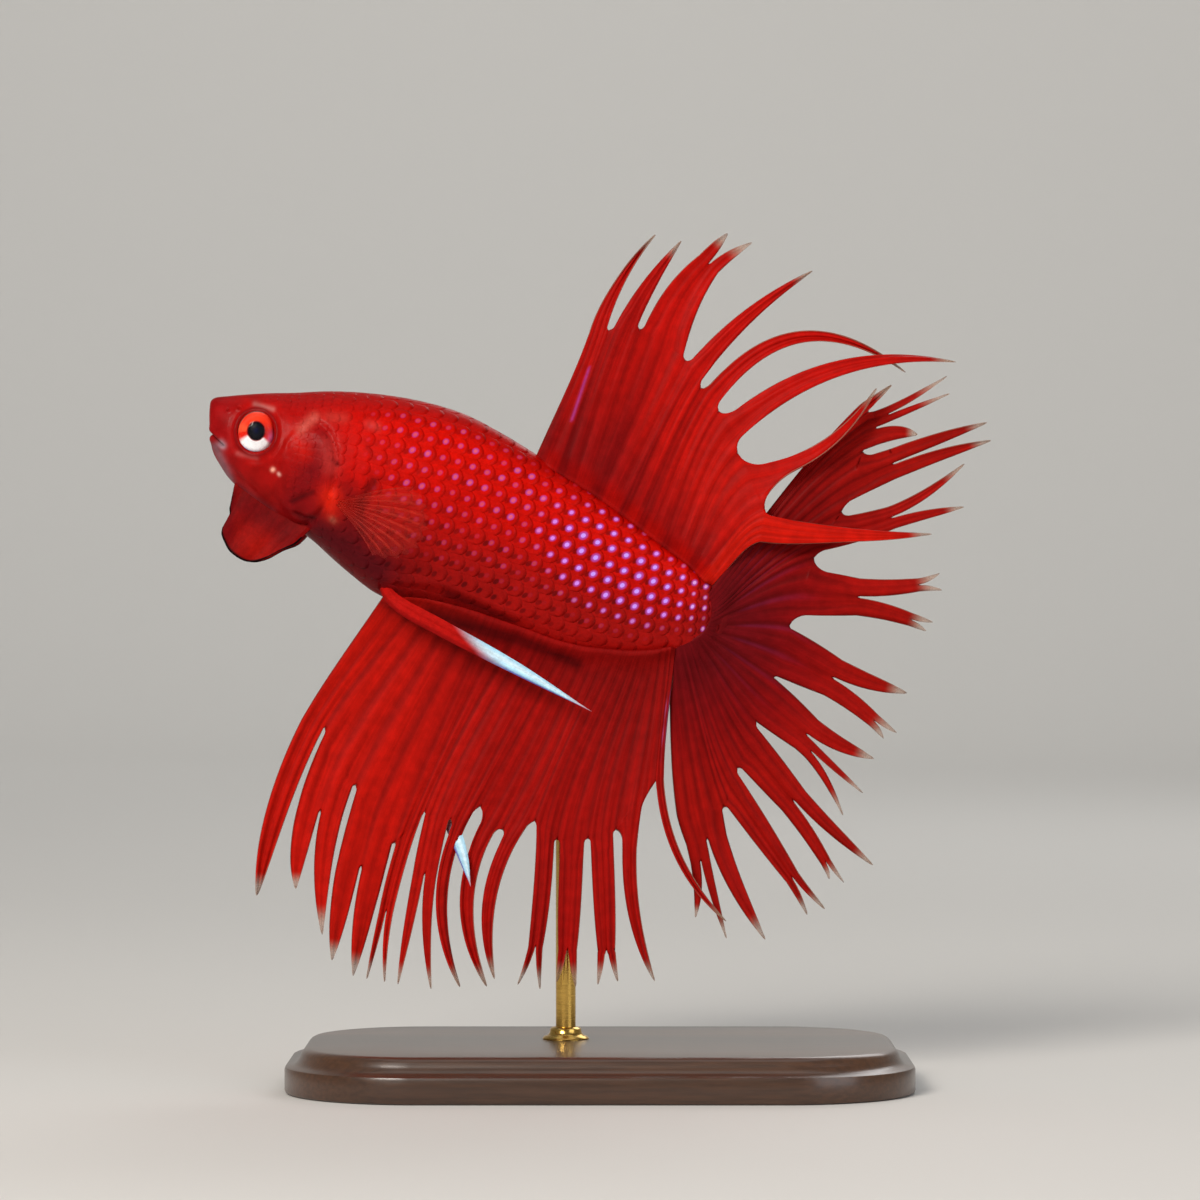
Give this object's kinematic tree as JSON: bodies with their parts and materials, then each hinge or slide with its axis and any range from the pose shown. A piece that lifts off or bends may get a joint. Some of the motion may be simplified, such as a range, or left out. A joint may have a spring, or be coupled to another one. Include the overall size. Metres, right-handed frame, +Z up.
{
  "type": "betta fish display model",
  "caption": "Life-size male crown-tail betta fish with spread fins, held by one rod on a small flat display base.",
  "frame": {"origin": "middle of the underside of the display base", "axes": "+Z up, the fish looks along -X, its left flank faces -Y"},
  "size_m": [0.0705, 0.036, 0.077],
  "materials": {
    "flesh": "wet red fish skin and scales with violet spots",
    "gill_membrane": "dark red membrane with a black hem",
    "eye": "clear wet cornea over a red iris and black pupil",
    "fin": "red translucent rayed membrane",
    "clear_fin": "nearly clear rayed membrane",
    "stand_base": "dark stained, satin lacquer",
    "stand_rod": "polished"
  },
  "bodies": {
    "root": {"head": "flesh", "lower_jaw": "flesh", "gill_cover_left": "flesh", "gill_cover_right": "flesh", "trunk_front": "flesh", "trunk_rear": "flesh", "tail_base": "flesh", "beard_left": "gill_membrane", "beard_right": "gill_membrane", "eye_left": "eye", "eye_right": "eye", "dorsal_fin": "fin", "tail_fin": "fin", "anal_fin": "fin", "pelvic_fin_left": "fin", "pelvic_fin_right": "fin", "pectoral_fin_left": "clear_fin", "pectoral_fin_right": "clear_fin", "stand_base": "stand_base", "stand_rod": "stand_rod"}
  },
  "joints": []
}
